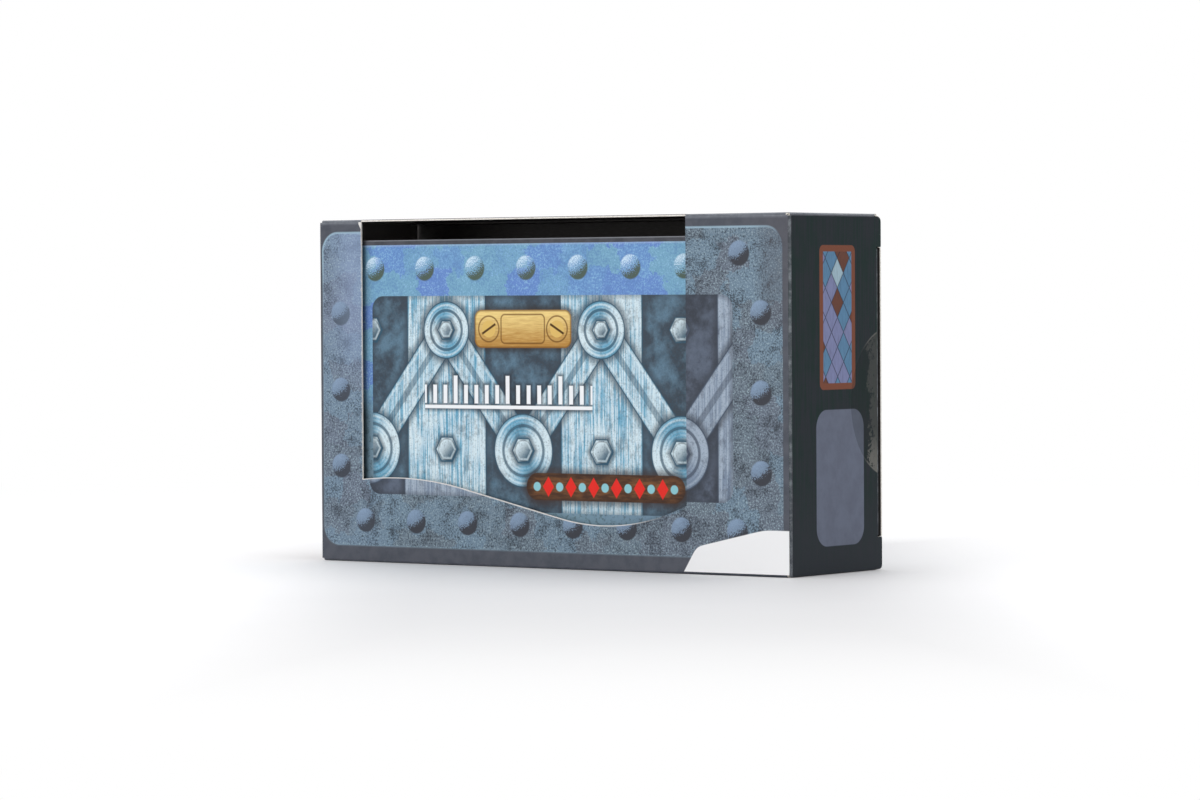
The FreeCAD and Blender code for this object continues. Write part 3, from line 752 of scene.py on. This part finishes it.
def dark_print():
    """Green-black ink on the tuck and the folds of the end panel, rubbed along the folds."""
    paint = Paint("carton_dark_print")
    colour = fold_wear_and_sheen(paint, end_ink(paint), RIGHT - paint.x, reach=1.0, bare=0.15)
    return paper_finish(paint, colour, 0.4, gloss=DARK_GLOSS)


def inside_board():
    """Black inner side of the board, with a faint fibre; faces turned toward the ends are painted greyer, as
    painted light on them.
    """
    paint = Paint("carton_inside")
    fibre = paint.noise((0.5, 2.2, 2.2), rough=0.65, seed=127)
    colour = fibre.step(0.35, 0.7).tint("#373433", "#403d3c")
    # Painted light: inner faces that face the ends are greyer
    colour = colour.coat(abs(paint.facing_x).step(0.6, 0.9), "#75716f")
    return paint.finish(colour, 0.62, fibre, 0.01, specular=0.3)


def raw_edge():
    """Cut edge of the board: pale fibre, with a line of ink along the top panel's printed side."""
    paint = Paint("carton_raw_edge")
    fibre = paint.noise(2.0, detail=5, rough=0.7, seed=131)
    colour = fibre.step(0.35, 0.7).tint("#f3f0ea", "#d6d0c6")
    colour = colour.coat(paint.z.step(HEIGHT - 0.16, HEIGHT - 0.1), CARTON_INKS.border)
    return paint.finish(colour, 0.8, fibre, 0.05, specular=0.2)


# Wood and steel

def wood(name, dark, mid, light, layers=None):
    """Wood with its grain along X and end grain on the ends; layers is a plywood's (front, thickness)."""
    paint = Paint(name)
    sway = paint.noise((0.02, 0.05, 0.05), detail=2, rough=0.55, seed=137) * 5
    bent = paint.term("CombineXYZ", paint.x, paint.y + sway, paint.z + sway)
    figure = paint.noise((0.012, 0.2, 0.2), detail=5, place=bent, seed=139)
    fibre = paint.noise((0.09, 3.2, 3.2), detail=3, place=bent, seed=149)
    pore = paint.noise((0.16, 5.5, 5.5), detail=2, rough=0.5, place=bent, seed=151).step(0.62, 0.7)
    colour = figure.step(0.3, 0.7).tint(dark, mid)
    colour = colour.coat(fibre.step(0.45, 0.75) * 0.6, light)
    colour = colour.coat(pore * 0.55, dark)
    ends = abs(paint.facing_x).step(0.6, 0.8)
    from_pith = length(paint.y * 1.3 - 46.0, paint.z * 0.55 + 30.0) + sway * 1.5
    spoke = paint.term("CombineXYZ", from_pith)
    ring = paint.noise((1.3, 1.0, 1.0), detail=3, place=spoke, seed=141)
    colour = colour.coat(ends * (ring.step(0.42, 0.62) * 0.5 + 0.2), dark)
    if layers:
        front, thickness = layers
        ply = (paint.y - front) / thickness * PLIES
        middle = abs(ply.floor() - 1).step(0.6, 0.4)
        glue = abs(ply - ply.whole())
        edge = abs(paint.facing_y).step(0.7, 0.5)
        colour = colour.coat(edge * middle * 0.5, light)
        colour = colour.coat(edge * glue.step(0.1, 0.03) * 0.7, "#0f0a08")
    height = fibre * 0.6 - pore * 0.7
    return paint.finish(colour, fibre * 0.15 + 0.5, height, 0.04, specular=0.35)


def steel():
    """Ground steel with fine rings round the pin."""
    paint = Paint("ground_steel")
    ground = paint.noise((0.4, 0.4, 9.0), detail=3, seed=157)
    stain = paint.noise(0.5, seed=163)
    colour = stain.step(0.4, 0.7).tint("#c9cacb", "#a9aaac")
    paint.shader.inputs["Metallic"].default_value = 1.0
    return paint.finish(colour, ground * 0.2 + 0.22, ground, 0.004)


def beech():
    """Pale beech with short flecks."""
    paint = Paint("pale_beech")
    fleck = paint.noise((1.4, 1.4, 4.0), seed=167)
    colour = fleck.step(0.35, 0.7).tint("#c7a077", "#a67c54")
    return paint.finish(colour, 0.6, fleck, 0.03, specular=0.3)


def paint_nodes():
    """Gives every carried-over node its finish, and softens the edges of all but the film."""
    dark = ("#20130d", "#3b2418", "#5a3a27")
    red = ("#4a2214", "#74402a", "#965c3e")
    front_low, front_high = sides("front_plate")
    back_low = sides("back_plate")[0]
    thickness = front_high.y - front_low.y
    finishes = (
        (face_print(), ("face_print",)),
        (wood("front_plate_ply", *dark, layers=(front_low.y, thickness)), ("front_plate",)),
        (wood("back_plate_ply", *dark, layers=(back_low.y, thickness)), ("back_plate",)),
        (wood("rail_wood", *dark), ("upper_rail", "lower_rail", "end_block")),
        (wood("tray_red_wood", *red),
         ("tray_base", "tray_frame_front", "tray_frame_middle", "tray_frame_back")),
        (beech(), ("shell_dowels", "stop_dowel", "tray_dowels")),
        (steel(), ("lock_pin_outer", "lock_pin_inner")),
    )
    for material, nodes in finishes:
        for node in nodes:
            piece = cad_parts[node]
            piece.data.materials.clear()
            piece.data.materials.append(material)
            if node != "face_print":
                soften(piece)


def soften(piece):
    """Rounds a node's sharp edges a little, as sanding does."""
    weld = piece.modifiers.new("weld", "WELD")
    weld.merge_threshold = 0.001 * MM
    bevel = piece.modifiers.new("sanded", "BEVEL")
    bevel.width = SANDED * MM
    bevel.segments = 2
    bevel.limit_method = "ANGLE"
    bevel.angle_limit = math.radians(50)


# Board

def add_object(name, data):
    """A new object in the scene."""
    piece = bpy.data.objects.new(name, data)
    bpy.context.scene.collection.objects.link(piece)
    return piece


class Sheet:
    """A folded sheet of board: faces of its printed side, then given the board's thickness inwards."""

    def __init__(self, name, inks):
        self.name = name
        self.inks = inks
        self.net = bmesh.new()
        self.corners = {}

    def corner(self, point):
        key = tuple(round(part, 4) for part in point)
        if key not in self.corners:
            self.corners[key] = self.net.verts.new(Vector(key) * MM)
        return self.corners[key]

    def face(self, points, inked=0, away=MIDDLE, smooth=False):
        """One face, its printed side turned away from a point."""
        face = self.net.faces.new([self.corner(point) for point in points])
        face.normal_update()
        if face.normal.dot(face.calc_center_median() - Vector(away) * MM) < 0:
            face.normal_flip()
        face.material_index = inked
        face.smooth = smooth

    def bend(self, centre, angles, axis, ends, inked=0, radius=FOLD_RADIUS):
        """A smooth bend round a line that runs along an axis through centre, printed on the outside."""
        section = arc(centre, *angles, radius)
        start, end = ([(*point[:axis], place, *point[axis:]) for point in section] for place in ends)
        middle = (*centre[:axis], ends[0], *centre[axis:])
        for index in range(ARC_STEPS):
            points = (start[index], start[index + 1], end[index + 1], end[index])
            self.face(points, inked, middle, smooth=True)

    def build(self, cut_edge=None):
        """Thickens the sheet; the last two materials are the inner side and the cut edges."""
        mesh = bpy.data.meshes.new(self.name)
        count = len(self.net.faces)
        self.net.to_mesh(mesh)
        self.net.free()
        piece = add_object(self.name, mesh)
        solid = piece.modifiers.new("board", "SOLIDIFY")
        solid.thickness = BOARD * MM
        solid.offset = -1
        solid.use_even_offset = True
        ready = piece.evaluated_get(bpy.context.evaluated_depsgraph_get())
        piece.data = bpy.data.meshes.new_from_object(ready)
        piece.modifiers.clear()
        for material in (*self.inks, INSIDE, cut_edge or RAW):
            piece.data.materials.append(material)
        inner = len(self.inks)
        for polygon in piece.data.polygons[count:2 * count]:
            polygon.material_index = inner
        for polygon in piece.data.polygons[2 * count:]:
            polygon.material_index = inner + 1
            polygon.use_smooth = False
        return piece


def arc(centre, start, end, radius):
    """Points of an arc, with angles in degrees."""
    angles = [math.radians(start + (end - start) * index / ARC_STEPS) for index in range(ARC_STEPS + 1)]
    return [(centre[0] + radius * math.cos(a), centre[1] + radius * math.sin(a)) for a in angles]


def rounded(corners):
    """An outline from corners of (u, v, radius), each rounded by its radius."""
    outline = []
    for index, (u, v, radius) in enumerate(corners):
        here = Vector((u, v))
        if not radius:
            outline.append((u, v))
            continue
        before = (Vector(corners[index - 1][:2]) - here).normalized()
        after = (Vector(corners[(index + 1) % len(corners)][:2]) - here).normalized()
        half = before.angle(after) / 2
        centre = here + (before + after).normalized() * (radius / math.sin(half))
        setback = radius / math.tan(half)
        first = here + before * setback - centre
        turn = first.angle_signed(here + after * setback - centre)
        for step in range(ARC_STEPS + 1):
            spoke = Matrix.Rotation(-turn * step / ARC_STEPS, 2) @ first
            outline.append(tuple(centre + spoke))
    return outline


def print_left_fold(piece, inked):
    """Prints the left edge of the back, where the board is folded and not cut."""
    for polygon in piece.data.polygons:
        if polygon.normal.x < -0.9 and polygon.center.y > 0:
            polygon.material_index = inked


def front_outline():
    """Front panel around the window, which is open to the top fold."""
    span = WINDOW_RIGHT - WINDOW_LEFT
    places = [WINDOW_LEFT + span * index / SILL_STEPS for index in range(SILL_STEPS + 1)]
    left, right = FRONT_LOW.x, FRONT_HIGH.x
    outline = [(x, LOW) for x in (left, FLAT_LEFT, FLAT_RIGHT, right)]
    outline += [(x, HIGH) for x in (right, FLAT_RIGHT, WINDOW_RIGHT)]
    outline += [(x, sill_height(x)) for x in reversed(places)]
    return outline + [(x, HIGH) for x in (WINDOW_LEFT, FLAT_LEFT, left)]


def back_outline():
    """Back panel, its right end set back where the closure's shoulders cover it."""
    right, set_back = BACK_HIGH.x, BACK_HIGH.x - FOLD_RADIUS
    low = SHOULDER + NOTCH_PLAY
    high = HEIGHT - low
    outline = [(x, LOW) for x in (FLAT_LEFT, FLAT_RIGHT, set_back)]
    outline += [(set_back, low), (right, low), (right, high), (set_back, high)]
    return outline + [(x, HIGH) for x in (set_back, FLAT_RIGHT, FLAT_LEFT)]


def top_outline():
    """Top panel, reaching half a board over the window, with room for the lip's bend at the left."""
    over = FRONT + BOARD / 2
    outline = [(FLAT_LEFT, NEAR), (WINDOW_LEFT, NEAR), (WINDOW_LEFT, over)]
    outline += [(WINDOW_RIGHT, over), (WINDOW_RIGHT, NEAR), (FLAT_RIGHT, NEAR)]
    outline += [(FLAT_RIGHT, FAR), (FLAT_LEFT, FAR), (FLAT_LEFT, LIP_FAR)]
    return outline + [(LIP_BEND, LIP_FAR), (LIP_BEND, LIP_NEAR), (FLAT_LEFT, LIP_NEAR)]


def long_folds():
    """Centre, angles and ends of each fold along X; the window parts the one over the front panel."""
    full = (FLAT_LEFT, FLAT_RIGHT)
    return [
        ((NEAR, HIGH), (180, 90), (FLAT_LEFT, WINDOW_LEFT)),
        ((NEAR, HIGH), (180, 90), (WINDOW_RIGHT, FLAT_RIGHT)),
        ((FAR, HIGH), (0, 90), full),
        ((NEAR, LOW), (180, 270), full),
        ((FAR, LOW), (360, 270), full),
    ]


def left_lip(sheet, inked):
    """Short lip bent down from the top panel at the left end."""
    sheet.bend((LIP_BEND, HIGH), (90, 180), Y, (LIP_NEAR, LIP_FAR), inked)
    lip = [(LIP_NEAR, HIGH), (LIP_FAR, HIGH), (LIP_FAR, LIP_TIP), (LIP_NEAR, LIP_TIP)]
    sheet.face([(FLAT_LEFT, y, z) for y, z in lip], inked)


def sleeve(small_print):
    """Front, bottom, back and top panels folded from one sheet, with the left lip."""
    front, back, top, plain = range(4)
    sheet = Sheet("carton_sleeve", [front_print(), back_print(), top_print(), small_print])
    sheet.face([(x, FRONT, z) for x, z in front_outline()], front)
    sheet.face([(x, BACK, z) for x, z in back_outline()], back)
    sheet.face([(x, y, HEIGHT) for x, y in top_outline()], top)
    bottom = [(FLAT_LEFT, NEAR), (FLAT_RIGHT, NEAR), (FLAT_RIGHT, FAR), (FLAT_LEFT, FAR)]
    sheet.face([(x, y, 0) for x, y in bottom], plain)
    for centre, angles, ends in long_folds():
        sheet.bend(centre, angles, X, ends, plain)
    left_lip(sheet, plain)
    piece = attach(sheet.build(), "carton")
    print_left_fold(piece, plain)
    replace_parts(piece, "carton_front", "carton_back", "carton_top", "carton_bottom", "carton_left_lip")


def glue_flap(small_print):
    """Strip of the back panel glued under the top panel, its cut edges blackened like the inside."""
    sheet = Sheet("glue_flap", [small_print])
    outline = [(GLUE_LOW.x, GLUE_HIGH.y), (GLUE_LOW.x + GLUE_TAPER, GLUE_LOW.y)]
    outline += [(GLUE_HIGH.x - GLUE_TAPER, GLUE_LOW.y), (GLUE_HIGH.x, GLUE_HIGH.y)]
    sheet.face([(x, y, GLUE_HIGH.z) for x, y in outline])
    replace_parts(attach(sheet.build(cut_edge=INSIDE), "carton"), "carton_glue_flap")


def crease(name, finish, bodies, start, end, **bend):
    """A bent strip of board along a score; bodies is not used."""
    sheet = Sheet(name, [finish])
    sheet.bend(**bend)
    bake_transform(sheet.build())


def closure_panel(dark):
    """End panel with its shoulders, and its crease on the front panel."""
    low, high = CLOSURE_LOW.z, CLOSURE_HIGH.z - CLOSURE_DROP
    shoulder_low, shoulder_high = low + SHOULDER, CLOSURE_HIGH.z - SHOULDER
    front, back = CLOSURE_LOW.y + FOLD_RADIUS, CLOSURE_HIGH.y
    outline = rounded([
        (front, low, 0), (back, low, SHOULDER_RADIUS),
        (back, shoulder_low, NOTCH_RADIUS), (TUCK_CREASE, shoulder_low, 0),
        (TUCK_CREASE, shoulder_high, 0), (back, shoulder_high, NOTCH_RADIUS),
        (back, high, SHOULDER_RADIUS), (front, high, 0),
    ])
    panel = Sheet("closure_panel", [end_print()])
    panel.face([(RIGHT, y, z) for y, z in outline])
    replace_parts(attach(panel.build(), "right_closure"), "right_closure")
    bend = RIGHT - FOLD_RADIUS
    crease("closure_crease", dark, ("carton", "right_closure"),
           start=(bend, CLOSURE_LOW.y, 0), end=(RIGHT, front, 0),
           centre=(bend, front), angles=(270, 360), axis=Z, ends=(low, high))


def tuck_panel(dark):
    """Tongue on the end panel's back edge, and the crease between them."""
    root, tip = RIGHT - TUCK_FOLD, TUCK_LOW.x
    low, high = TUCK_LOW.z, TUCK_HIGH.z
    outline = rounded([
        (root, low, 0), (root, high, 0), (tip, high, TUCK_RADIUS), (tip, low, TUCK_RADIUS),
    ])
    tuck = Sheet("tuck_panel", [dark])
    tuck.face([(x, TUCK_HIGH.y, z) for x, z in outline])
    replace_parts(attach(tuck.build(), "right_tuck"), "right_tuck")
    crease("tuck_crease", dark, ("right_closure", "right_tuck"),
           start=(RIGHT, TUCK_CREASE, 0), end=(root, TUCK_HIGH.y, 0),
           centre=(root, TUCK_CREASE), angles=(0, 90), axis=Z, ends=(low, high), radius=TUCK_FOLD)


def dust_flaps(plain):
    """Tapered flaps on the top and bottom panels, folded in behind the end panel."""
    reach = DUST_HIGH.z - DUST_LOW.z
    for side, edge, inward in (("top", HEIGHT, -1), ("bottom", 0, 1)):
        body = f"right_dust_{side}"
        root = edge + inward * FOLD_RADIUS
        tip = edge + inward * reach
        outline = rounded([
            (DUST_LOW.y, root, 0), (DUST_HIGH.y, root, 0),
            (DUST_HIGH.y - DUST_TAPER, tip, DUST_RADIUS), (DUST_LOW.y + DUST_TAPER, tip, DUST_RADIUS),
        ])
        flap = Sheet(f"dust_flap_{side}", [plain])
        flap.face([(DUST_HIGH.x, y, z) for y, z in outline])
        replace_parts(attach(flap.build(), body), body)
        bend = DUST_HIGH.x - FOLD_RADIUS
        crease(f"dust_crease_{side}", plain, ("carton", body),
               start=(bend, 0, edge), end=(DUST_HIGH.x, 0, root),
               centre=(bend, root), angles=(-inward * 90, 0), axis=Y, ends=(DUST_LOW.y, DUST_HIGH.y))


def left_flap(plain):
    """Flap of the open left end, folded flat behind the back panel."""
    fold, tip = FLAP_LOW.x, FLAP_HIGH.x
    low, high = FLAP_LOW.z, FLAP_HIGH.z
    outline = rounded([
        (fold, low, 0), (tip, low, FLAP_RADIUS), (tip, high, FLAP_RADIUS), (fold, high, 0),
    ])
    flap = Sheet("left_flap_panel", [plain])
    behind = FLAP_HIGH.y - BOARD
    flap.face([(x, behind, z) for x, z in outline], away=(0, FLAP_HIGH.y + HEIGHT, HEIGHT / 2))
    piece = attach(flap.build(), "left_flap")
    print_left_fold(piece, 0)
    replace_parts(piece, "left_flap")


def stage_scene():
    """Pale floor that fades to white with distance, soft lamps and a white surround."""
    turns = ((-1, -1), (1, -1), (1, 1), (-1, 1))
    corners = [Vector((x * FLOOR_REACH, y * FLOOR_REACH, -FLOOR_DROP)) * MM for x, y in turns]
    mesh = bpy.data.meshes.new("floor")
    mesh.from_pydata(corners, [], [(0, 1, 2, 3)])
    floor = add_object("floor", mesh)
    floor.data.materials.append(floor_material())
    white_surround()
    area_lamp("top_lamp", place=(0.0, 0.3, 1.3), size=1.5, power=11.8)
    area_lamp("front_lamp", place=(-0.4, -1.4, 0.4), size=0.9, power=10.2)
    area_lamp("side_lamp", place=(1.4, -0.3, 0.4), size=0.8, power=4.4)


def seen_directly(graph):
    """1 for rays that show the background itself: from the camera, off gloss and through glass."""
    rays = graph.node("LightPath").outputs
    kinds = ("Camera", "Glossy", "Transmission")
    seen, off_gloss, through = (Term(graph, rays[f"Is {kind} Ray"]) for kind in kinds)
    return seen.most(off_gloss).most(through)


def floor_material():
    """Pale floor that keeps its shadows: lifted to white beside the part, and plain white further off."""
    paint = Paint("floor_white")
    spot = paint.noise(0.02, detail=2, rough=0.55, seed=173)
    paint.finish(spot.tint("#e7e7e9", "#eaeaec"), 0.6, specular=0.1)
    aside = paint.x * math.cos(YAW) + paint.y * math.sin(YAW)
    ahead = paint.y * math.cos(YAW) - paint.x * math.sin(YAW)
    seen = seen_directly(paint)
    shadow_aside, shadow_behind, shadow_before, lift_most = 8.0, 0.8, 0.21, 0.25
    along = ahead.most(0.0) * shadow_behind - ahead.least(0.0) * shadow_before
    away = abs(aside - shadow_aside).most(along)
    paint.feed(paint.shader.inputs["Emission Strength"], away.step(45.0, 110.0) * seen * lift_most)
    near = abs(aside).step(650.0, 250.0) * abs(ahead).step(520.0, 100.0)
    white = paint.term("Emission", WHITE)
    shown = paint.term("MixShader", (1 - near) * seen, Term(paint, paint.shader.outputs[0]), white)
    paint.feed(paint.tree.nodes["Material Output"].inputs["Surface"], shown)
    return paint.material


def white_surround():
    """Plain white where it is seen itself, and a weaker white as light on the part."""
    world = bpy.data.worlds.new("surround")
    bpy.context.scene.world = world
    world.use_nodes = True
    world.node_tree.nodes.clear()
    graph = Graph(world.node_tree)
    ambient = graph.term("Background", WHITE, AMBIENT)
    white = graph.term("Background", WHITE)
    shown = graph.term("MixShader", seen_directly(graph), ambient, white)
    graph.node("OutputWorld", shown)


def area_lamp(name, place, size, power):
    """A square lamp aimed at the part's middle; place and size in metres, power in watts."""
    lamp = bpy.data.lights.new(name, "AREA")
    lamp.size = size
    lamp.energy = power
    piece = add_object(name, lamp)
    piece.location = place
    aim = MIDDLE * MM - Vector(place)
    piece.rotation_euler = aim.to_track_quat("-Z", "Y").to_euler()


def camera():
    """The photograph's viewpoint: level at first, then turned, tipped and rolled."""
    lens = bpy.data.cameras.new("camera")
    lens.lens = LENS
    lens.clip_start = 0.01
    turned = Matrix.Rotation(YAW, 4, "Z") @ Matrix.Rotation(math.radians(90) + PITCH, 4, "X")
    piece = add_object("camera", lens)
    piece.matrix_world = Matrix.Translation(EYE * MM) @ turned @ Matrix.Rotation(ROLL, 4, "Z")
    bpy.context.scene.camera = piece


INSIDE = inside_board()
RAW = raw_edge()
SMALL_PRINT = plain_print()
sleeve(SMALL_PRINT)
glue_flap(SMALL_PRINT)
DARK_PRINT = dark_print()
closure_panel(DARK_PRINT)
tuck_panel(DARK_PRINT)
dust_flaps(SMALL_PRINT)
left_flap(SMALL_PRINT)
paint_nodes()
stage_scene()
camera()
bpy.context.scene.view_settings.view_transform = "Standard"
